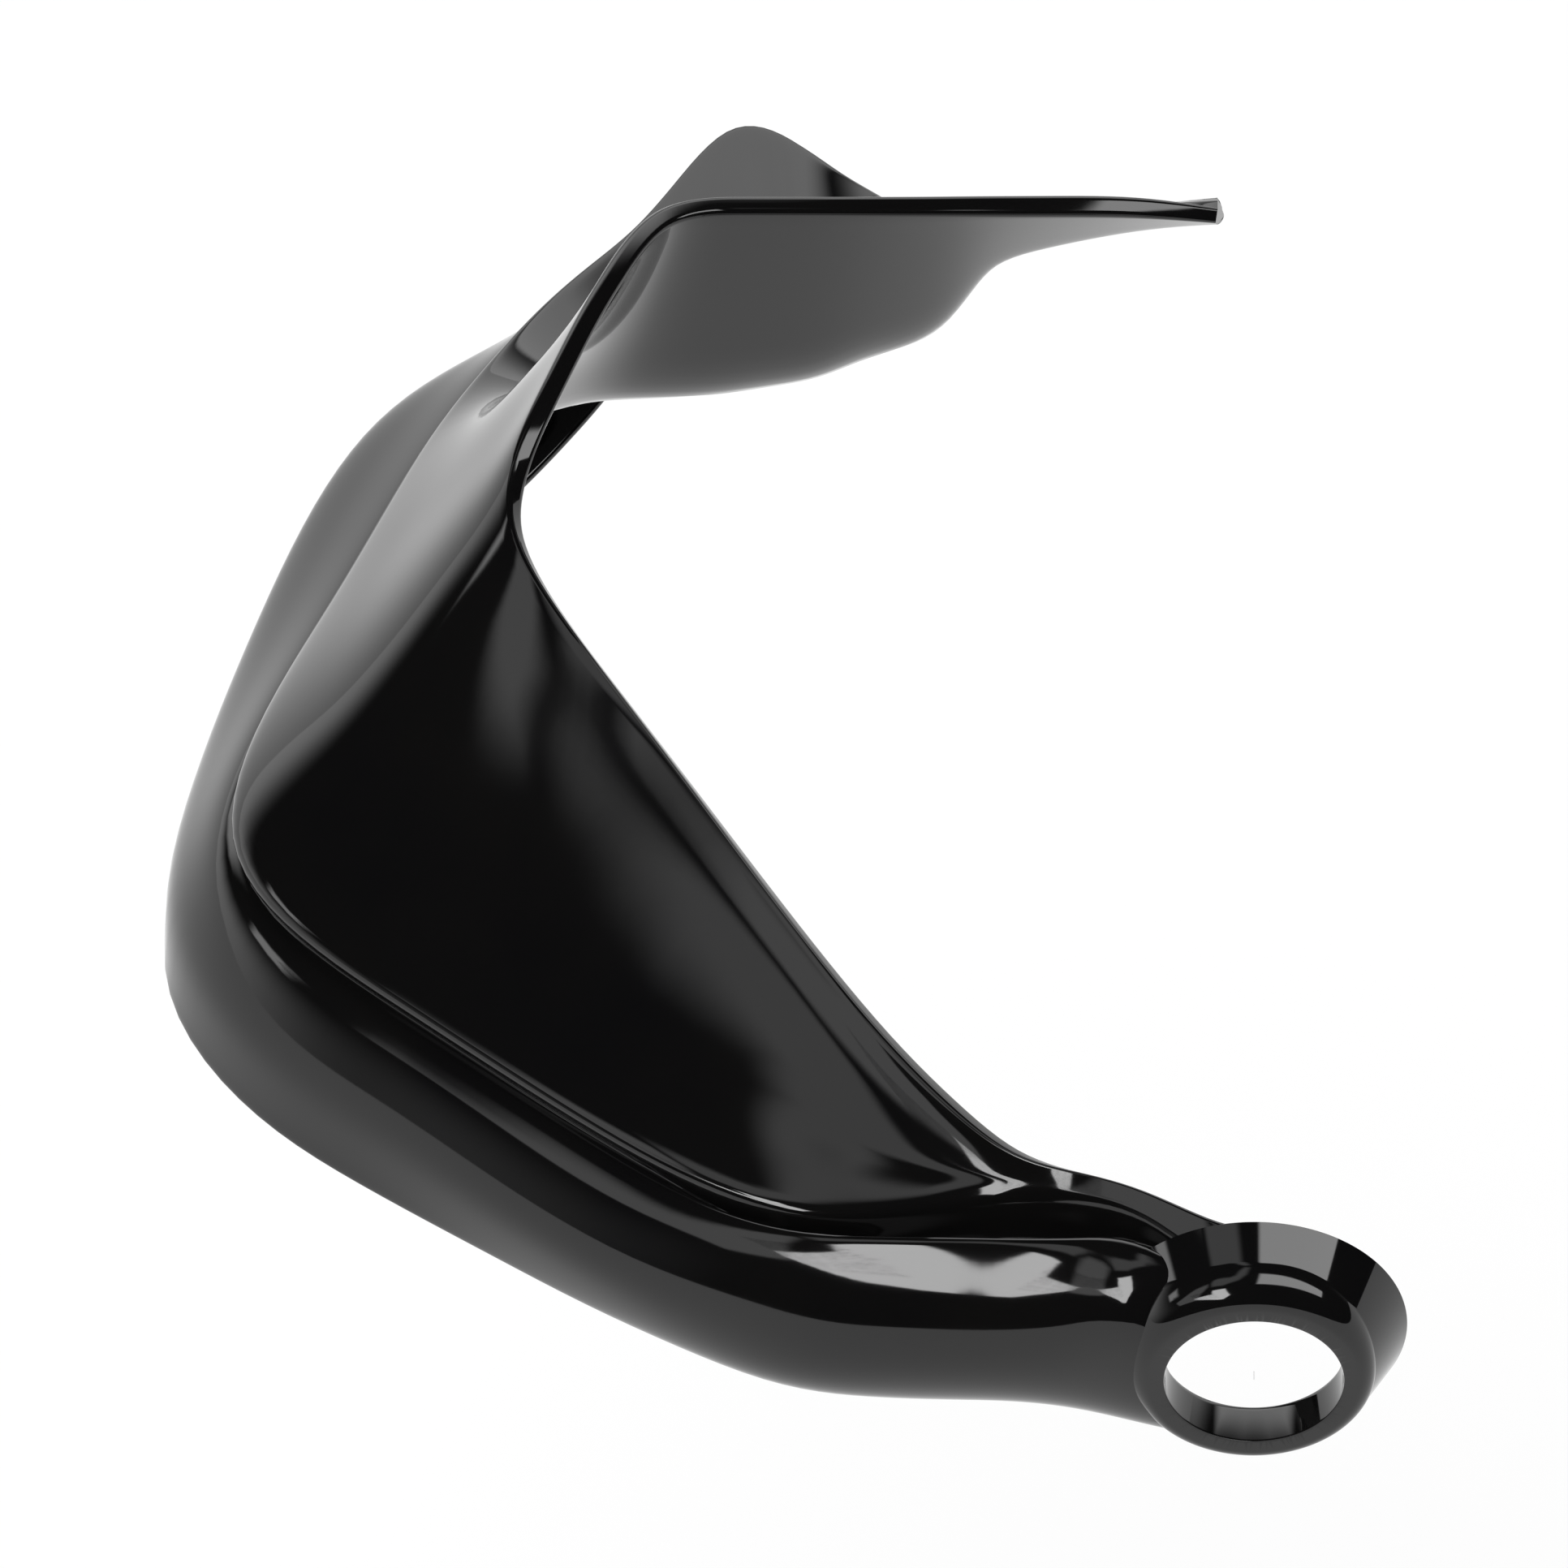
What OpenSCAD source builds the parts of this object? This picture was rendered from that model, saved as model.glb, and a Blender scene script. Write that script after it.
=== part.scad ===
// Motorcycle hand guard for the left end of a handlebar: one gloss black moulding.
// Frame: the bore's axis lies along Y, outboard is +Y, forward is +X and up is +Z.
// The origin is the centre of the bore in the ring's flat outboard face.
// The shell is a loft. Guide rails run from the ring, along the arm and the shield, to the
// tip of the wing, and every section is a smooth curve across the rails.

/* [Ring at the bar end] */
// Bore that goes over the bar end
bore_d = 22.4; // [20:0.1:24]
// Thickness of the web that is clamped at the bar end
web = 6; // [4:0.5:8]
// Extra radius of the lead-in at the back of the bore
lead_in = 0.4; // [0.2:0.1:0.6]
// Length of the lead-in
lead_len = 1; // [0.5:0.5:2]
// Width of the ring's front around the bore, shoulder included
face_w = 4; // [3.5:0.5:6]
// Radius of the ring's front shoulder
shoulder_r = 2; // [1:0.5:2.5]
// How much wider the ring's skirt is at its back
flare = 4; // [2:0.5:6]
// Depth of the ring from its face to the back of its skirt
ring_depth = 10; // [9:0.5:12]

/* [Shell] */
// Thickness of the moulding
wall = 2.8; // [2:0.1:3.2]
// How far the shield's lip reaches forward of the bar's axis
reach = 131; // [120:1:145]
// How far the wing lies inboard of the ring's face
span = 160; // [145:1:175]
// Height of the wing's top edge above the bar's axis
rise = 45; // [38:1:52]
// Height of the lip above the bar's axis
lip_z = 10; // [8:0.5:12]
// Depth of the step from the lip down to the bumper band
step = 3; // [2:0.25:3.5]
// Depth of the pocket in the arm below that step
pocket = 5; // [2:0.5:6]
// How far the shield swells between its top edge and its lip
crown = 2; // [0:0.1:3]
// Height of the bumper band
band_h = 26; // [22:0.5:28]
// How far the bumper band stands proud of the lip
band_out = 9; // [7:0.5:10]

/* [Hidden] */
$fn = 64;
bore_r = bore_d / 2;
front_r = bore_r + face_w;
back_r = front_r + flare;

// The shell's rails are drawn for this reach, span and rise
drawn = [131, 160, 45];
function fit(p) = [p.x * reach / drawn.x, p.y * span / drawn.y, p.z * rise / drawn.z];
function level(p) = [p.x * reach / drawn.x, p.y * span / drawn.y, p.z + lip_z - 10];
function lerp(a, b, t) = a + (b - a) * t;
function unit(v) = v / max(norm(v), 1e-9);
up = [0, 0, 1];

// Top edge, from the ring to the tip of the wing
tops = [
    [14, -17, 17.5], [22, -21, 16], [30, -23, 16], [38, -30, 18], [48, -41, 21], [60, -58, 25.5],
    [72, -76, 30], [82, -90, 34], [89, -99, 38], [93, -106, 41], [93.5, -112, 43],
    [92, -119, 45.5], [88.5, -127, 47], [84.5, -137, 48], [81.5, -144, 48], [78.5, -151, 47.5],
    [74.5, -157.5, 46], [69, -160, 45], [64, -160, 45], [60, -160, 45], [55, -160, 45],
    [50, -160, 45], [45, -160, 45], [40, -160, 45], [34, -160, 45], [25, -160, 45],
    [14, -160, 45], [4, -160, 42.5]];

// Lip at the foot of the shield, round the inboard ear and under the wing
lips = [
    [14, -15, 16], [22, -18.5, 14.5], [30, -21, 12.5], [38, -20.5, 11], [48, -19, 10],
    [60, -20, 10], [74, -27, 10], [90, -40, 10], [106, -54, 10], [120, -66, 10],
    [131, -82, 10], [125, -106.5, 7.5], [115, -129, 5], [105, -154.5, 4], [97, -168.5, 3.5],
    [90, -178.5, 4], [84, -185.5, 4], [78, -191.5, 4], [73, -201, 2], [66, -214, 1],
    [59, -211, 2], [51.5, -200, 5], [45, -190, 11], [39, -175, 19], [33, -170, 26.5],
    [25, -170, 29], [14, -168, 34.5], [4, -163.5, 40]];

// Fold between the upright wall and the flare, from the inboard corner to the tip
folds = [
    [91, -155.5, 10], [85.5, -161, 6], [80, -164, 2.5], [73, -164.5, 1.5], [67, -164.5, 1],
    [61, -164.5, 1], [55, -165, 2], [50, -166.5, 6.5], [45, -168.5, 8.5], [40, -169.5, 12.5],
    [33, -168.5, 26], [25, -168, 30], [14, -166, 36], [4, -162, 40]];
bulges = [0, 0, 0, 0.5, 1, 1, 1, 1, 1, 1, 1, 1, 0.7, 0.3, 0, 0, 0, 0, 0, 0, 0, 0, 0, 0, 0, 0, 0, 0];
first_fold = len(tops) - len(folds);
function fold(i) = i < first_fold ? lerp(fit(tops[i]), level(lips[i]), 0.55) : fit(folds[i - first_fold]);

// The band along the arm: top edge, shoulder, outboard face and foot of each section
arm = [
    [[14, -11, 15.6], [14, -6.5, 15.6], [14, -2.4, 13.2], [14, -0.4, 10.5], [14, 0, 0],
        [14, -0.5, -8], [14, -3.5, -12.5], [14, -10, -14.5]],
    [[22, -12, 14.2], [22, -8.5, 12], [22, -5, 9.3], [22, -2.4, 5], [22, -1.7, -2],
        [22, -3, -8.5], [22, -7, -12.8], [22, -12.5, -13.6]],
    [[30, -12.8, 13.2], [30, -9.6, 10.4], [30, -6.3, 7.4], [30, -3.8, 2.5], [30, -3, -3],
        [30, -4.5, -9], [30, -8.5, -13], [30, -14, -13.8]],
    [[38, -13.5, 12.8], [38, -10.4, 9.9], [38, -7.2, 6.8], [38, -4.5, 1.5], [38, -3.8, -4],
        [38, -5.5, -10], [38, -9.5, -14], [38, -15, -14.6]],
    [[48, -14.8, 11.4], [48, -11.9, 8.6], [48, -8.7, 5.4], [48, -6, 0], [48, -5.2, -5.5],
        [48, -7, -11.5], [48, -11, -15], [48, -16.5, -15.5]],
    [[60, -17.3, 9], [60, -14.5, 7.5], [60, -11, 3.5], [60.5, -8.5, -2], [60.5, -7.7, -8],
        [60.5, -9.5, -12.5], [60, -13, -15.3], [60, -18, -16.5]]];
pockets = [0.2, 1, 1, 1, 0.8, 0.45];

// The band past the arm: how proud it stands, how far out its foot is, and its height,
// as shares of band_out and band_h. Its shoulder is round where its crown is 1, steep where it is 0.
band_outs = [1, 1, 0.95, 1, 0.9, 1.1, 1.7, 2, 2, 1.2, 0.45, 0.15, 0.05, 0.03, 0.03, 0.03, 0.03,
    0.03, 0.03, 0.03, 0.03, 0.03];
foot_outs = [0.8, 0.85, 1.1, 1.15, 1.05, 0.8, 0.55, 0.1, -0.35, -0.45, -0.45, -0.35, -0.2, -0.1, -0.05,
    -0.05, -0.05, -0.05, -0.05, -0.05, -0.05, -0.05];
heights = [0.95, 1, 1, 1, 0.95, 0.95, 0.95, 0.95, 0.9, 0.85, 0.77, 0.58, 0.38, 0.23, 0.15, 0.11,
    0.08, 0.08, 0.08, 0.08, 0.08, 0.08];
crowns = [1, 1, 1, 1, 0.8, 0.5, 0.2, 0, 0, 0, 0.5, 1, 1, 1, 1, 1, 1, 1, 1, 1, 1, 1];

// Outward direction of the lip in plan
function outward(i) = let (
    a = level(lips[max(i - 1, 0)]), b = level(lips[min(i + 1, len(lips) - 1)]),
    t = unit([b.x - a.x, b.y - a.y, 0]))
    [-t.y, t.x, 0];

// Guide points of one section, from the top edge over the lip, the step and the band to its foot
function arm_band(i) = let (
    l = level(lips[i]), b = arm[i][0], g = lerp(l, b, 0.5) - up * (step + pocket * pockets[i]))
    concat([l, lerp(l, g, 0.25) + up * 0.3, g, lerp(b, g, 0.25) + up * 0.3], arm[i]);
function shield_band(i) = let (
    l = level(lips[i]), o = outward(i), k = i - len(arm),
    r = band_out * band_outs[k], f = band_out * foot_outs[k], h = band_h * heights[k],
    q = min(1, h / 22), c = crowns[k])
    [l, l - o * 0.1 * q - up * 1.8 * q, l - o * 1.4 * q - up * (step + 0.3) * q,
        l - o * 0.5 * q - up * (step + 0.7) * q, l + o * 0.8 * q - up * (step + 0.9) * q,
        l + o * lerp(0.8, r, lerp(0.15, 0.3, c)) - up * h * lerp(0.25, 0.22, c),
        l + o * r * lerp(0.46, 0.7, c) - up * h * lerp(0.43, 0.38, c),
        l + o * r * lerp(0.78, 0.97, c) - up * h * lerp(0.6, 0.56, c),
        l + o * lerp(r, f, lerp(0.1, 0.3, c)) - up * h * 0.75,
        l + o * lerp(r, f, 0.7) - up * h * 0.9, l + o * f - up * h * 0.97,
        l + o * (f - 1) - up * h];
function section(i) = let (
    t = fit(tops[i]), l = level(lips[i]), flat = unit(cross(outward(i), unit(t - l))),
    swell = crown * bulges[i] * unit(cross(flat, t - l)), v = fold(i) + swell,
    near = l - unit(l - v) * (2 + 2.5 * bulges[i]))
    concat([t, lerp(t, v, 0.33) + swell * 0.35, lerp(t, v, 0.67) + swell * 0.25, v,
        lerp(v, near, 0.5) + swell * 0.25, near],
        i < len(arm) ? arm_band(i) : shield_band(i));

// Guide points where the shell runs on inside the ring's wall
tuck = 0.4;
function skirt(y) = front_r + flare * max(0, -y - shoulder_r) / (ring_depth - shoulder_r);
function on_ring(a, r, y, s) = [(r - tuck) * cos(a), y - (y > -1 ? tuck : 0), (r - tuck) * sin(a) * s];
function ring_section(a) = let (d = ring_depth)
    concat([for (k = [0:8]) let (y = -d * (0.95 - k * 0.095)) on_ring(a, skirt(y), y, 1)],
        [on_ring(a, front_r - 0.3, -d * 0.1, 1), on_ring(a, front_r - 1.5, 0, 1),
        on_ring(a, front_r - 3, 0, 0.85), on_ring(a, front_r - 3, 0, 0),
        on_ring(a, front_r - 3, 0, -0.85), on_ring(a, front_r - 1.5, 0, -1),
        on_ring(a, front_r - 0.3, -d * 0.1, -1), on_ring(a, skirt(-d * 0.3), -d * 0.3, -1),
        on_ring(a, skirt(-d * 0.9), -d * 0.9, -1)]);

guides = concat([for (a = [95, 78]) ring_section(a)], [for (i = [0:len(tops) - 1]) section(i)]);

// The same sections without the lip and the step, as guides for the inner skin
function plain(s) = [for (j = [0:len(s) - 1])
    j == 6 ? lerp(s[5], s[8], 0.5) : j == 7 || j == 8 ? s[8] :
    j == 9 ? lerp(s[8], s[11], 0.33) : j == 10 ? lerp(s[8], s[11], 0.66) : s[j]];

// Uniform cubic curve along a row of guide points, with n steps for each span
function weights(t) = [pow(1 - t, 3), 3 * pow(t, 3) - 6 * t * t + 4,
    -3 * pow(t, 3) + 3 * t * t + 3 * t + 1, pow(t, 3)] / 6;
function guide(p, i) = i < 0 ? 2 * p[0] - p[1] : i >= len(p) ? 2 * p[i - 1] - p[i - 2] : p[i];
function curve(p, n) = concat(
    [for (i = [0:len(p) - 2]) for (k = [0:n - 1]) let (w = weights(k / n))
        w[0] * guide(p, i - 1) + w[1] * guide(p, i) + w[2] * guide(p, i + 1) + w[3] * guide(p, i + 2)],
    [p[len(p) - 1]]);
function turn(m) = [for (j = [0:len(m[0]) - 1]) [for (i = [0:len(m) - 1]) m[i][j]]];
function surface_through(m) = let (along = turn([for (rail = turn(m)) curve(rail, 2)]))
    [for (row = along) curve(row, 2)];

outer = surface_through(guides);
base = surface_through([for (s = guides) plain(s)]);
rows = len(outer);
cols = len(outer[0]);
function normal(m, i, j) = unit(cross(
    m[min(i + 1, rows - 1)][j] - m[max(i - 1, 0)][j],
    m[i][min(j + 1, cols - 1)] - m[i][max(j - 1, 0)]));
// The wall is thinner inside the ring's own wall and where the arm's far edge is low
thicks = curve([for (i = [0:len(guides) - 1]) i < 2 ? wall / 2 :
    min(wall, norm(guides[i][6] - guides[i][0]) / 2)], 2);
inner = [for (i = [0:rows - 1]) [for (j = [0:cols - 1]) base[i][j] - normal(base, i, j) * thicks[i]]];

// Closed skin from the outer and the inner surface
module shell() {
    points = concat([for (row = outer) each row], [for (row = inner) each row]);
    n = rows * cols;
    faces = concat(
        [for (i = [0:rows - 2]) for (j = [0:cols - 2]) each let (a = i * cols + j, b = a + cols)
            [[a, a + 1, b], [b, a + 1, b + 1], [n + a, n + b, n + a + 1], [n + b, n + b + 1, n + a + 1]]],
        [for (i = [0:rows - 2]) each let (a = i * cols, b = a + cols, c = a + cols - 1, d = b + cols - 1)
            [[a, b, n + a], [b, n + b, n + a], [c, n + c, d], [d, n + c, n + d]]],
        [for (j = [0:cols - 2]) each let (a = j, b = (rows - 1) * cols + j)
            [[a, n + a, a + 1], [a + 1, n + a, n + a + 1], [b, b + 1, n + b], [b + 1, n + b + 1, n + b]]]);
    polyhedron(points, faces, convexity = 10);
}

// Half section of the ring, from the bore out, with the face at zero
module ring_profile() {
    polygon([[bore_r - 1, 0], [front_r - shoulder_r, 0], [front_r, -shoulder_r],
        [back_r, -ring_depth], [bore_r - 1, -ring_depth]]);
    translate([front_r - shoulder_r, -shoulder_r]) circle(shoulder_r, $fn = 32);
}

module ring() {
    rotate([-90, 0, 0]) rotate_extrude() ring_profile();
}

// Hollow behind the web, cut last so that the web's back is flat right across
module hollow() {
    rotate([-90, 0, 0]) rotate_extrude()
        polygon([[0, -web], [back_r - wall - flare * (1 - web / ring_depth), -web],
            [back_r - wall, -ring_depth], [back_r - wall, -ring_depth - 1], [0, -ring_depth - 1]]);
}

module bore() {
    rotate([-90, 0, 0]) translate([0, 0, -ring_depth - 1]) cylinder(r = bore_r, h = ring_depth + 2);
    rotate([-90, 0, 0]) translate([0, 0, -web]) cylinder(r1 = bore_r + lead_in, r2 = bore_r, h = lead_len);
}

module hand_guard() {
    color("black") difference() {
        union() {
            ring();
            shell();
        }
        hollow();
        bore();
    }
}

hand_guard();
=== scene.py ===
import math

import bpy
import numpy as np
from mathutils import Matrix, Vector


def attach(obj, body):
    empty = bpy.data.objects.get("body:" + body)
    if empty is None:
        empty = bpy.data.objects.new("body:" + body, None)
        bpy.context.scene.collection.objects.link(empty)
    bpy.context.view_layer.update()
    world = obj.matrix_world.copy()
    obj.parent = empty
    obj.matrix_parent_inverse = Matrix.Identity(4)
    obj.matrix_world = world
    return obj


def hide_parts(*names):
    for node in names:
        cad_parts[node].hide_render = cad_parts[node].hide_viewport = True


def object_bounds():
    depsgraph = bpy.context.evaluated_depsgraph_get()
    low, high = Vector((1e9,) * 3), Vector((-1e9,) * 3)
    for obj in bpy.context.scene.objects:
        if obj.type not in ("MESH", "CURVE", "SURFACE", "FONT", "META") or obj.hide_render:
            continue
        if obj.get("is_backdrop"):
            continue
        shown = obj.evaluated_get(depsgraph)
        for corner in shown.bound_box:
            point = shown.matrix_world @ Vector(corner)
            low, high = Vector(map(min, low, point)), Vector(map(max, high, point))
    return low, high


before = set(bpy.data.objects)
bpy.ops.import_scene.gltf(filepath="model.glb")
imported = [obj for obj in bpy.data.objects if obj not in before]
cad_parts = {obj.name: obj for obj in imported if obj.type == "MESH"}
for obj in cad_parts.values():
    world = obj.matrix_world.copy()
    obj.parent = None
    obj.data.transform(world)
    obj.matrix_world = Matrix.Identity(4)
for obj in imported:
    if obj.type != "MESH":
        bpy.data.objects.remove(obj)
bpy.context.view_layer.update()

# Hand guard: one injection moulding in gloss black plastic, held by the bore of its ring on the end
# of the handlebar. Its wall is lofted in millimetres through the same guide rails as the CAD part,
# drawn finer, with the free edges rounded and the ring, its hollow and its bore added last.
bore_r = 11.2
front_r = 15.2
back_r = 19.2
depth = 10.0
web = 6.0
wall = 2.8
step = 3.0
pocket = 5.0
crown = 2.0
# how far the loft starts under the ring's surface, and the steps between two of its guides
tuck = 0.4
fine = 6
up = np.array([0.0, 0.0, 1.0])


def lerp(a, b, t):
    return a + (b - a) * t


def unit(v):
    return v / max(np.linalg.norm(v), 1e-9)


tops = [
    (14, -17, 17.5), (22, -21, 16), (30, -23, 16), (38, -30, 18), (48, -41, 21), (60, -58, 25.5),
    (72, -76, 30), (82, -90, 34), (89, -99, 38), (93, -106, 41), (93.5, -112, 43),
    (92, -119, 45.5), (88.5, -127, 47), (84.5, -137, 48), (81.5, -144, 48), (78.5, -151, 47.5),
    (74.5, -157.5, 46), (69, -160, 45), (64, -160, 45), (60, -160, 45), (55, -160, 45),
    (50, -160, 45), (45, -160, 45), (40, -160, 45), (34, -160, 45), (25, -160, 45),
    (14, -160, 45), (4, -160, 42.5)]
lips = [
    (14, -15, 16), (22, -18.5, 14.5), (30, -21, 12.5), (38, -20.5, 11), (48, -19, 10),
    (60, -20, 10), (74, -27, 10), (90, -40, 10), (106, -54, 10), (120, -66, 10),
    (130.85, -82, 10), (125, -106.5, 7.5), (115, -129, 5), (105, -154.5, 4), (97, -168.5, 3.5),
    (90, -178.5, 4), (84, -185.5, 4), (78, -191.5, 4), (73, -201, 2), (66, -213.75, 1),
    (59, -211, 2), (51.5, -200, 5), (45, -190, 11), (39, -175, 19), (33, -170, 26.5),
    (25, -170, 29), (14, -168, 34.5), (4, -163.5, 40)]
folds = [
    (91, -155.5, 10), (85.5, -161, 6), (80, -164, 2.5), (73, -164.5, 1.5), (67, -164.5, 1.5),
    (61, -164.5, 2.5), (55, -165, 3.5), (50, -166.5, 6.5), (45, -168.5, 7), (39.5, -169.5, 10.5),
    (35, -168.5, 26), (27, -168, 30), (14, -166, 36), (4, -162, 40)]
arm = [
    [(14, -11, 15.6), (14, -6.5, 15.6), (14, -2.4, 13.2), (14, -0.4, 10.5), (14, 0, 0),
     (14, -0.5, -8), (14, -3.5, -12.5), (14, -10, -14.5)],
    [(22, -12, 14.2), (22, -8.5, 12), (22, -5, 9.3), (22, -2.4, 5), (22, -1.7, -2),
     (22, -3, -8.5), (22, -7, -12.8), (22, -12.5, -13.6)],
    [(30, -12.8, 13.2), (30, -9.6, 10.4), (30, -6.3, 7.4), (30, -3.8, 2.5), (30, -3, -3),
     (30, -4.5, -9), (30, -8.5, -13), (30, -14, -13.8)],
    [(38, -13.5, 12.8), (38, -10.4, 9.9), (38, -7.2, 6.8), (38, -4.5, 1.5), (38, -3.8, -4),
     (38, -5.5, -10), (38, -9.5, -14), (38, -15, -14.6)],
    [(48, -14.8, 11.4), (48, -11.9, 8.6), (48, -8.7, 5.4), (48, -6, 0), (48, -5.2, -5.5),
     (48, -7, -11.5), (48, -11, -15), (48, -16.5, -15.5)],
    [(60, -17.3, 9), (60, -14.5, 7.5), (60, -11, 3.5), (60.5, -8.5, -2), (60.5, -7.7, -8),
     (60.5, -9.5, -12.5), (60, -13, -15.3), (60, -18, -16.5)]]
pockets = [0.2, 1, 1, 1, 0.8, 0.45]
# the bumper band past the arm: how far it and its foot stand out from the lip, and its height
band_outs = [9, 9, 8.5, 9, 8.1, 9.9, 15.3, 18, 18, 10.8, 4, 1.4, 0.5] + [0.3] * 9
foot_outs = [7.2, 7.6, 9.9, 10.4, 9.4, 7.2, 5, 1, -3, -4, -4, -3, -2, -1] + [-0.5] * 8
heights = [24.7, 26, 26, 26, 24.7, 24.7, 24.7, 24.7, 23.4, 22, 20, 15, 10, 6, 4, 3] + [2] * 6
crowns = [1, 1, 1, 1, 0.8, 0.5, 0.2, 0, 0, 0, 0.5, 1, 1, 1, 1, 1, 1, 1, 1, 1, 1, 1]
bulges = [0, 0, 0, 0.5, 1, 1, 1, 1, 1, 1, 1, 1, 0.7, 0.3] + [0] * 14
tops = [np.array(p, float) for p in tops]
lips = [np.array(p, float) for p in lips]
folds = [np.array(p, float) for p in folds]
arm = [[np.array(p, float) for p in s] for s in arm]


def skirt(y):
    return front_r + (back_r - front_r) * max(0.0, -y - 2) / (depth - 2)


def ring_section(angle):
    # just under the ring's own surface, where the shell grows out of it
    ca = math.cos(math.radians(angle))
    sa = math.sin(math.radians(angle))
    ys = [-depth + tuck + k * 0.85 for k in range(9)]
    corner, inside, deep = front_r - 1.1, front_r - 2.4, front_r - 3
    rows = [((skirt(y) - tuck) * ca, y, (skirt(y) - tuck) * sa) for y in ys]
    rows += [(corner * ca, -1.4, corner * sa), (inside * ca, -tuck, inside * sa)]
    rows += [(deep * ca, -tuck, deep * sa * share) for share in (0.85, 0, -0.85)]
    rows += [(inside * ca, -tuck, -inside * sa), (corner * ca, -1.4, -corner * sa),
             ((skirt(-4) - tuck) * ca, -4, -(skirt(-4) - tuck) * sa),
             ((back_r - 0.6) * ca, -depth + tuck, -(back_r - 0.6) * sa)]
    return [np.array(p, float) for p in rows]


def outward(i):
    before = lips[max(i - 1, 0)]
    after = lips[min(i + 1, len(lips) - 1)]
    along = unit(np.array([after[0] - before[0], after[1] - before[1], 0]))
    return np.array([-along[1], along[0], 0])


def arm_band(i):
    lip = lips[i]
    edge = arm[i][0]
    groove = lerp(lip, edge, 0.5) - up * (step + pocket * pockets[i])
    return [lip, lerp(lip, groove, 0.25) + up * 0.3, groove, lerp(edge, groove, 0.25) + up * 0.3] + arm[i]


def fold_at(i):
    first = len(tops) - len(folds)
    return lerp(tops[i], lips[i], 0.55) if i < first else folds[i - first]


def shield_band(i):
    lip = lips[i]
    out = outward(i)
    k = i - len(arm)
    r, f, h, c = band_outs[k], foot_outs[k], heights[k], crowns[k]
    q = min(1, h / 22)
    shape = [lip, lip - out * 0.1 * q - up * 1.8 * q, lip - out * 1.4 * q - up * (step + 0.3) * q,
            lip - out * 0.5 * q - up * (step + 0.7) * q, lip + out * 0.8 * q - up * (step + 0.9) * q,
            lip + out * lerp(0.8, r, lerp(0.15, 0.3, c)) - up * h * lerp(0.25, 0.22, c),
            lip + out * r * lerp(0.46, 0.7, c) - up * h * lerp(0.43, 0.38, c),
            lip + out * r * lerp(0.78, 0.97, c) - up * h * lerp(0.6, 0.56, c),
            lip + out * lerp(r, f, lerp(0.1, 0.3, c)) - up * h * 0.75,
            lip + out * lerp(r, f, 0.7) - up * h * 0.9, lip + out * f - up * h * 0.97,
            lip + out * (f - 1) - up * h]
    # on the wing there is no band: the wall just runs a little past the lip
    fold = fold_at(i)
    hook = np.linalg.norm(lip - fold)
    past = unit(lip - lerp(tops[i], fold, min(1, hook / 12.5))) * h / 11
    there = min(1, max(0, (hook - 10) / 5))
    return [lerp(lip + past * j, p, there) for j, p in enumerate(shape)]


def section(i):
    top, lip, fold = tops[i], lips[i], fold_at(i)
    flat = unit(np.cross(outward(i), unit(top - lip)))
    swell = crown * bulges[i] * unit(np.cross(flat, top - lip))
    fold = fold + swell
    near = lip - unit(lip - fold) * min(2 + 2.5 * bulges[i], np.linalg.norm(lip - fold) * 0.45)
    return [top, lerp(top, fold, 0.33) + swell * 0.35, lerp(top, fold, 0.67) + swell * 0.25, fold,
            lerp(fold, near, 0.5) + swell * 0.25, near] + (
        arm_band(i) if i < len(arm) else shield_band(i))


def smooth(points, steps):
    # uniform cubic curve along the first axis, from the first point to the last
    points = np.asarray(points, float)
    p = np.concatenate([[2 * points[0] - points[1]], points, [2 * points[-1] - points[-2]]])
    rows = []
    for i in range(len(points) - 1):
        for k in range(steps):
            t = k / steps
            w = ((1 - t) ** 3, 3 * t ** 3 - 6 * t * t + 4, -3 * t ** 3 + 3 * t * t + 3 * t + 1, t ** 3)
            rows.append(sum(w[m] * p[i + m] for m in range(4)) / 6)
    rows.append(points[-1])
    return np.array(rows)


def skin(guides, along, across):
    by_rail = smooth(guides, along)
    return smooth(by_rail.swapaxes(0, 1), across).swapaxes(0, 1)


def unit_rows(v):
    return v / np.maximum(np.linalg.norm(v, axis=-1, keepdims=True), 1e-9)


def calm(v):
    # evens out directions along an edge, in place
    for k in range(6):
        v[1:-1] = (v[:-2] + 2 * v[1:-1] + v[2:]) / 4
    return unit_rows(v)


edge_r = 0.8
guides = np.array([ring_section(a) for a in (95, 78)] + [section(i) for i in range(len(tops))])
inset = np.minimum(edge_r, np.linalg.norm(guides[:, 6] - guides[:, 0], axis=1, keepdims=True) * 0.1)
guides[:, 0] += unit_rows(guides[:, 1] - guides[:, 0]) * inset
guides[:, -1] += unit_rows(guides[:, -2] - guides[:, -1]) * edge_r
plain = guides.copy()
plain[:, 6] = lerp(guides[:, 5], guides[:, 8], 0.5)
plain[:, 7] = guides[:, 8]
plain[:, 9] = lerp(guides[:, 8], guides[:, 11], 0.33)
plain[:, 10] = lerp(guides[:, 8], guides[:, 11], 0.66)
outer = skin(guides, fine, fine)
base = skin(plain, fine, fine)
rail = np.arange(outer.shape[1])[None, :] / fine
normals = unit_rows(np.cross(np.gradient(base, axis=0), np.gradient(base, axis=1)))
# the wall is thinner at the ring, and above the lip where the shield is narrow
full = smooth([wall / 2] * 2 + [wall] * len(tops), fine)[:, None]
narrow = [min(wall, np.linalg.norm(g[6] - g[0]) / 2) for g in guides[2:]]
thin = smooth([wall / 2] * 2 + narrow, fine)[:, None]
thicks = lerp(thin, full, np.clip((rail - 6.5) / 3, 0, 1))
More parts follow.
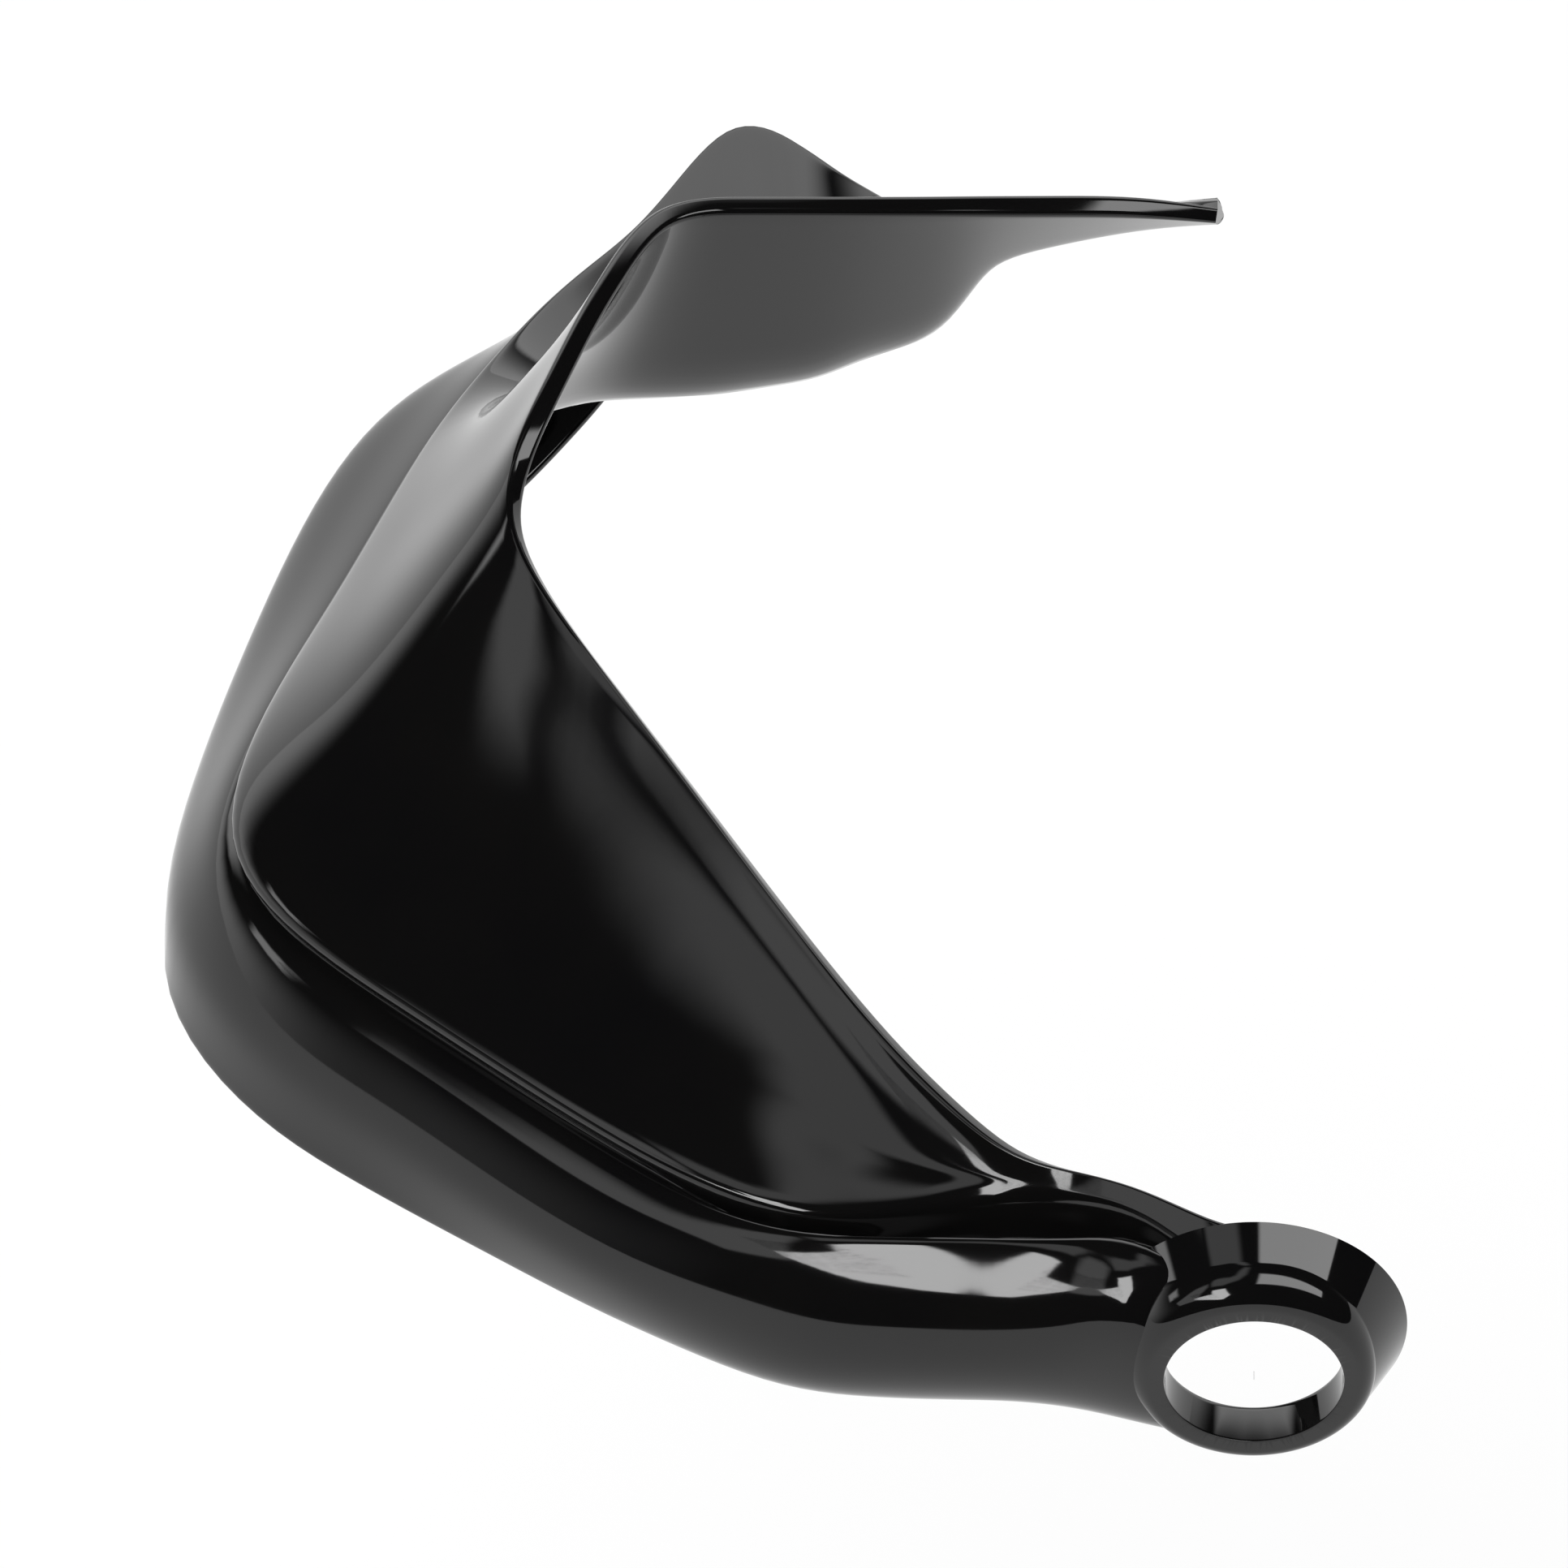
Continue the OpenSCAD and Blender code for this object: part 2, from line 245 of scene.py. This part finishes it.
# a low band or a bare edge takes a thinner wall
low = smooth([wall] * 8 + [min(wall, 0.7 + 0.4 * h) for h in heights], fine)[:, None]
thicks = np.minimum(thicks, lerp(wall, low, np.clip((rail - 3.5) / 2.5, 0, 1)))
inner = base - normals * thicks[:, :, None]
# behind a low band the inner skin is set in square from the plate, clear of the band's tight bend
brink = base[:, 5 * fine]
plate = calm(unit_rows(brink - base[:, 4 * fine]))[:, None]
level = calm(normals[:, 9 * fine // 2].copy())[:, None]
sunk = np.maximum(0, np.sum((brink[:, None] - base) * level, axis=2))
ramp = np.clip((rail - 4.5) / 1.5, 0, 1) * smooth([1.0] * 25 + [0.0] * 5, fine)[:, None]
square = base - plate * (thicks * ramp)[:, :, None] - level * np.maximum(0, thicks - sunk)[:, :, None]
lowness = np.clip((6 - smooth([20.0] * 8 + heights, fine)) / 2, 0, 1)[:, None]
lowness = lowness * np.clip((rail - 4) / 0.5, 0, 1)
inner = lerp(inner, square, lowness[:, :, None])

# each section becomes a closed loop: outer skin, rounded foot, inner skin, rounded top edge
arc = [math.radians(a) for a in (0, 22.5, 45, 67.5, 90)]


def rounded(a, b, out, limit):
    gap = a - b
    n = unit_rows(gap)
    out = calm(unit_rows(out - n * np.sum(out * n, axis=1, keepdims=True)))
    r = np.minimum(limit, np.linalg.norm(gap, axis=1, keepdims=True) * 0.42)
    first = [a - n * r + r * (n * math.cos(t) + out * math.sin(t)) for t in arc[1:]]
    last = [b + n * r + r * (-n * math.sin(t) + out * math.cos(t)) for t in arc[:-1]]
    return first + last


foot = rounded(outer[:, -1], inner[:, -1], unit_rows(outer[:, -1] - outer[:, -2]), edge_r)
head = rounded(inner[:, 0], outer[:, 0], unit_rows(outer[:, 0] - outer[:, 3]), smooth(inset, fine))
loops = np.concatenate([outer, np.stack(foot, 1), inner[:, ::-1], np.stack(head, 1)], axis=1)
rows, size = loops.shape[:2]
faces = [(i * size + j, i * size + (j + 1) % size, (i + 1) * size + (j + 1) % size, (i + 1) * size + j)
         for i in range(rows - 1) for j in range(size)]
faces.append(tuple(reversed(range(size))))
faces.append(tuple((rows - 1) * size + j for j in range(size)))
mesh = bpy.data.meshes.new("hand_guard_skin")
mesh.from_pydata((loops.reshape(-1, 3) / 1000).tolist(), [], faces)
mesh.validate()
guard = bpy.data.objects.new("hand_guard_skin", mesh)
bpy.context.collection.objects.link(guard)


def closed_ring(name, sections):
    # a ring through sections that follow one another about the bore's axis
    n, count = len(sections[0]), len(sections)
    quads = [(k * n + j, (k + 1) % count * n + j, (k + 1) % count * n + (j + 1) % n, k * n + (j + 1) % n)
             for k in range(count) for j in range(n)]
    body = bpy.data.meshes.new(name)
    body.from_pydata([(x / 1000, y / 1000, z / 1000) for row in sections for x, y, z in row], [], quads)
    made = bpy.data.objects.new(name, body)
    bpy.context.collection.objects.link(made)
    return made


def turned(name, profile, around=192):
    # a ring from one closed profile of (radius, y)
    turns = [2 * math.pi * k / around for k in range(around)]
    return closed_ring(name, [[(r * math.cos(t), y, r * math.sin(t)) for r, y in profile] for t in turns])


def combine(target, tool, operation):
    step_by = target.modifiers.new(operation.lower(), "BOOLEAN")
    step_by.operation = operation
    step_by.object = tool
    step_by.solver = "MANIFOLD"
    bpy.context.view_layer.objects.active = target
    bpy.ops.object.modifier_apply(modifier=step_by.name)
    bpy.data.objects.remove(tool)


# the ring: a flat face, a shoulder that is wide at the top and narrow at the outer side, and a skirt
rim = []
sides = 192
face_r = front_r - 2
curve = [math.radians(82 * m / 12) for m in range(13)]
for k in range(sides):
    angle = 360 * k / sides
    top = min(1, max(0, (185 - angle) / 85)) if angle < 190 else max(0, (angle - 330) / 30)
    top = top * top * (3 - 2 * top)
    crease_r, crease_y = front_r + 1.9 * top, -2 - 3 * top
    bend = [(face_r + (crease_r - face_r) * math.sin(t) / math.sin(curve[-1]),
             crease_y * (1 - math.cos(t)) / (1 - math.cos(curve[-1]))) for t in curve]
    line = [(9, 0)] + bend + [(back_r, -depth + 0.3), (back_r - 0.3, -depth), (9, -depth)]
    rim.append([(r * math.cos(math.radians(angle)), y, r * math.sin(math.radians(angle))) for r, y in line])
axis_r = 0.02
hollow = [(axis_r, -web), (14.5, -web), (14.8, -web - 0.3), (16.4, -depth), (16.8, -depth - 1),
          (axis_r, -depth - 1)]
bore = [(axis_r, 1), (bore_r + 1.3, 1), (bore_r + 0.3, 0), (bore_r + 0.09, -0.09), (bore_r, -0.3),
        (bore_r, 1 - web), (bore_r + 0.4, -web), (bore_r + 0.4, -web - 8), (axis_r, -web - 8)]
combine(guard, closed_ring("ring", rim), "UNION")
combine(guard, turned("hollow", hollow), "DIFFERENCE")
combine(guard, turned("bore", bore), "DIFFERENCE")
mesh = guard.data
for polygon in mesh.polygons:
    polygon.use_smooth = True
mesh.set_sharp_from_angle(angle=math.radians(28))
even = guard.modifiers.new("even", "WEIGHTED_NORMAL")
even.keep_sharp = True
bpy.context.view_layer.objects.active = guard
bpy.ops.object.modifier_apply(modifier=even.name)

# Gloss black: the moulding's own finish, a deep black under a clear surface straight from a polished
# mould, with a faint haze in the polish and a faint ripple where the plastic flowed.
black = bpy.data.materials.new("gloss_black")
black.use_nodes = True
surface = black.node_tree.nodes["Principled BSDF"]
surface.inputs["IOR"].default_value = 1.5
nodes = black.node_tree.nodes
links = black.node_tree.links
place = nodes.new("ShaderNodeTexCoord")
haze = nodes.new("ShaderNodeTexNoise")
haze.inputs["Scale"].default_value = 45
haze.inputs["Detail"].default_value = 3
polish = nodes.new("ShaderNodeMapRange")
polish.inputs["To Min"].default_value = 0.03
polish.inputs["To Max"].default_value = 0.075
tint = nodes.new("ShaderNodeMix")
tint.data_type = "RGBA"
tint.inputs["A"].default_value = (0.0025, 0.0025, 0.003, 1)
tint.inputs["B"].default_value = (0.0045, 0.0043, 0.004, 1)
flow = nodes.new("ShaderNodeTexNoise")
flow.inputs["Scale"].default_value = 160
ripple = nodes.new("ShaderNodeBump")
ripple.inputs["Strength"].default_value = 0.05
ripple.inputs["Distance"].default_value = 0.00005
links.new(place.outputs["Object"], haze.inputs["Vector"])
links.new(place.outputs["Object"], flow.inputs["Vector"])
links.new(haze.outputs["Fac"], polish.inputs["Value"])
links.new(polish.outputs[0], surface.inputs["Roughness"])
links.new(haze.outputs["Fac"], tint.inputs["Factor"])
links.new(tint.outputs["Result"], surface.inputs["Base Color"])
links.new(flow.outputs["Fac"], ripple.inputs["Height"])
links.new(ripple.outputs[0], surface.inputs["Normal"])
mesh.materials.clear()
mesh.materials.append(black)
mesh.polygons.foreach_set("material_index", [0] * len(mesh.polygons))
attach(guard, "root")
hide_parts("hand_guard")

# Floor: a wide sheet of white paper well below the guard. It is matt for the guard's shadow, and
# mostly plain white to the camera and in the gloss.
bpy.ops.mesh.primitive_plane_add(size=60, location=(0.06, -0.1, -0.3))
floor = bpy.context.object
floor.name = "floor"
paper = bpy.data.materials.new("white_paper")
paper.use_nodes = True
nodes = paper.node_tree.nodes
links = paper.node_tree.links
nodes.clear()
out = nodes.new("ShaderNodeOutputMaterial")
mix = nodes.new("ShaderNodeMixShader")
matt = nodes.new("ShaderNodeBsdfDiffuse")
matt.inputs["Color"].default_value = (0.85, 0.85, 0.85, 1)
glow = nodes.new("ShaderNodeEmission")
path = nodes.new("ShaderNodeLightPath")
either = nodes.new("ShaderNodeMath")
either.operation = "MAXIMUM"
plain_white = nodes.new("ShaderNodeMath")
plain_white.operation = "MULTIPLY"
plain_white.inputs[1].default_value = 0.7
links.new(path.outputs["Is Camera Ray"], either.inputs[0])
links.new(path.outputs["Is Glossy Ray"], either.inputs[1])
links.new(either.outputs[0], plain_white.inputs[0])
links.new(plain_white.outputs[0], mix.inputs[0])
links.new(matt.outputs[0], mix.inputs[1])
links.new(glow.outputs[0], mix.inputs[2])
links.new(mix.outputs[0], out.inputs[0])
floor.data.materials.append(paper)
floor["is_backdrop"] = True

# Room: white to the camera. In the gloss its walls are bright low down, most behind the guard and
# in front of it, and fade into a dark ceiling.
world = bpy.data.worlds.new("room")
bpy.context.scene.world = world
world.use_nodes = True
nodes = world.node_tree.nodes
links = world.node_tree.links
sky = nodes["Background"]
sky.inputs["Color"].default_value = (1, 1, 1, 1)


def reckon(operation, first, second):
    # a Math node fed with numbers or with other nodes' outputs
    node = nodes.new("ShaderNodeMath")
    node.operation = operation
    for socket, value in zip(node.inputs, (first, second)):
        if isinstance(value, (int, float)):
            socket.default_value = value
        else:
            links.new(value, socket)
    return node.outputs[0]


path = nodes.new("ShaderNodeLightPath")
place = nodes.new("ShaderNodeTexCoord")
way = nodes.new("ShaderNodeSeparateXYZ")
links.new(place.outputs["Generated"], way.inputs[0])
side = reckon("SUBTRACT", reckon("MULTIPLY", way.outputs["X"], 0.5), way.outputs["Y"])
walls = nodes.new("ShaderNodeMapRange")
walls.interpolation_type = "SMOOTHSTEP"
walls.inputs["From Min"].default_value = 0.42
walls.inputs["From Max"].default_value = 0.05
links.new(way.outputs["Z"], walls.inputs["Value"])
facing = nodes.new("ShaderNodeMapRange")
facing.interpolation_type = "SMOOTHSTEP"
facing.inputs["From Min"].default_value = -0.2
facing.inputs["From Max"].default_value = 0.8
facing.inputs["To Max"].default_value = 1.5
links.new(side, facing.inputs["Value"])
bright = reckon("MULTIPLY", walls.outputs[0], facing.outputs[0])
mirrored = reckon("MULTIPLY", bright, path.outputs["Is Glossy Ray"])
direct = reckon("SUBTRACT", 1, path.outputs["Is Glossy Ray"])
links.new(reckon("ADD", mirrored, direct), sky.inputs["Strength"])

# Lamp: soft light from above for anything matt. The gloss shows only the panels below.
lamp = bpy.data.lights.new("lamp", "SUN")
lamp.energy = 0.8
lamp.angle = math.radians(30)
lamp_object = bpy.data.objects.new("lamp", lamp)
lamp_object.rotation_euler = (math.radians(-20), math.radians(15), 0)
lamp_object.visible_glossy = False
bpy.context.collection.objects.link(lamp_object)

# Panels: the softboxes that the gloss mirrors, each a flat sheet a metre above the guard whose
# light fades out towards its edge.
height = 1.0
over = (0.06, -0.07, 0.01)
panels = {
    "wide_panel": (0.95, 0.045, [(0.6, 0.33), (0.59, 0.2), (0.57, 0.125), (0.535, 0.066), (0.457, 0.037),
                                (0.363, 0.045), (0.268, 0.065), (0.183, 0.014), (0.124, -0.162),
                                (0.06, -0.27), (0.0, -0.25), (0.04, 0.0), (0.15, 0.2), (0.4, 0.36)]),
    "strip_panel": (1.2, 0.05, [(0.66, 0.18), (0.75, 0.19), (1.0, 0.25), (1.5, 0.5), (2.1, 0.75),
                                (2.1, 1.2), (1.2, 1.1), (0.9, 0.6), (0.68, 0.3)]),
    "window_panel": (10.0, 0.02, [(0.38, 0.55), (0.62, 0.55), (0.68, 0.82), (1.2, 0.86), (1.2, 1.0),
                                  (0.85, 1.4), (0.72, 1.65), (0.6, 1.7), (0.36, 1.1)]),
    "back_panel": (2.4, 0.25, [(-1.6, -2.6), (1.8, -2.8), (1.0, -1.2), (0.3, -0.9), (-0.3, -0.9),
                               (-1.2, -1.3)]),
    "side_panel": (5.0, 0.03, [(-1.7, -0.06), (-0.14, -0.02), (-0.1, 0.4), (-1.7, 0.4)]),
    "front_panel": (3.0, 0.12, [(1.75, -0.3), (2.5, -0.3), (2.5, 0.3), (1.75, 0.2)])}
for name, (strength, softness, corners) in panels.items():
    corners = np.array(corners)
    low, high = corners.min(axis=0) - softness, corners.max(axis=0) + softness
    across, along = (np.ceil((high - low) / max(softness / 3, 0.01)).astype(int) + 1).clip(8, 160)
    grid = np.stack(np.meshgrid(np.linspace(low[0], high[0], across), np.linspace(low[1], high[1], along),
                                indexing="ij"), axis=-1).reshape(-1, 2)
    inside = np.zeros(len(grid), bool)
    away = np.full(len(grid), 9.0)
    for p, q in zip(corners, np.roll(corners, -1, axis=0)):
        t = np.clip(((grid - p) @ (q - p)) / ((q - p) @ (q - p)), 0, 1)[:, None]
        away = np.minimum(away, np.linalg.norm(grid - (p + (q - p) * t), axis=1))
        crosses = (p[1] > grid[:, 1]) != (q[1] > grid[:, 1])
        at = p[0] + (grid[:, 1] - p[1]) / (q[1] - p[1] if q[1] != p[1] else 1) * (q[0] - p[0])
        inside ^= crosses & (grid[:, 0] < at)
    fade = np.clip(0.5 + np.where(inside, away, -away) / softness / 2, 0, 1)
    fade = fade * fade * (3 - 2 * fade)
    sheet = bpy.data.meshes.new(name)
    sheet.from_pydata([(over[0] + u * height, over[1] + v * height, over[2] + height) for u, v in grid], [],
                      [(i * along + j, (i + 1) * along + j, (i + 1) * along + j + 1, i * along + j + 1)
                       for i in range(across - 1) for j in range(along - 1)])
    sheet.attributes.new("fade", "FLOAT", "POINT").data.foreach_set("value", fade)
    board = bpy.data.objects.new(name, sheet)
    bpy.context.collection.objects.link(board)
    light = bpy.data.materials.new(name)
    light.use_nodes = True
    nodes = light.node_tree.nodes
    links = light.node_tree.links
    nodes.clear()
    edge = nodes.new("ShaderNodeAttribute")
    edge.attribute_name = "fade"
    clear = nodes.new("ShaderNodeBsdfTransparent")
    shine = nodes.new("ShaderNodeEmission")
    shine.inputs["Strength"].default_value = strength
    blend = nodes.new("ShaderNodeMixShader")
    end = nodes.new("ShaderNodeOutputMaterial")
    links.new(edge.outputs["Fac"], blend.inputs[0])
    links.new(clear.outputs[0], blend.inputs[1])
    links.new(shine.outputs[0], blend.inputs[2])
    links.new(blend.outputs[0], end.inputs[0])
    sheet.materials.append(light)
    board.visible_camera = False
    board.visible_diffuse = False
    board.visible_shadow = False
    board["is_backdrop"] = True

# Camera: a long lens from the outboard side, looking down on the guard.
lens = bpy.data.cameras.new("camera")
camera = bpy.data.objects.new("camera", lens)
bpy.context.collection.objects.link(camera)
bpy.context.scene.camera = camera
tilt = math.radians(48)
toward = Vector((0, math.cos(tilt), math.sin(tilt)))
target = Vector((0.0587, -math.sin(tilt) * 0.0747, math.cos(tilt) * 0.0747))
distance = 8.0
seen_width = 0.1967
camera.location = target + toward * (distance - 0.035)
camera.rotation_euler = (-toward).to_track_quat("-Z", "Y").to_euler()
lens.lens = 36 * distance / seen_width
lens.clip_end = 100
bpy.context.scene.view_settings.view_transform = "Standard"

low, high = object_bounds()
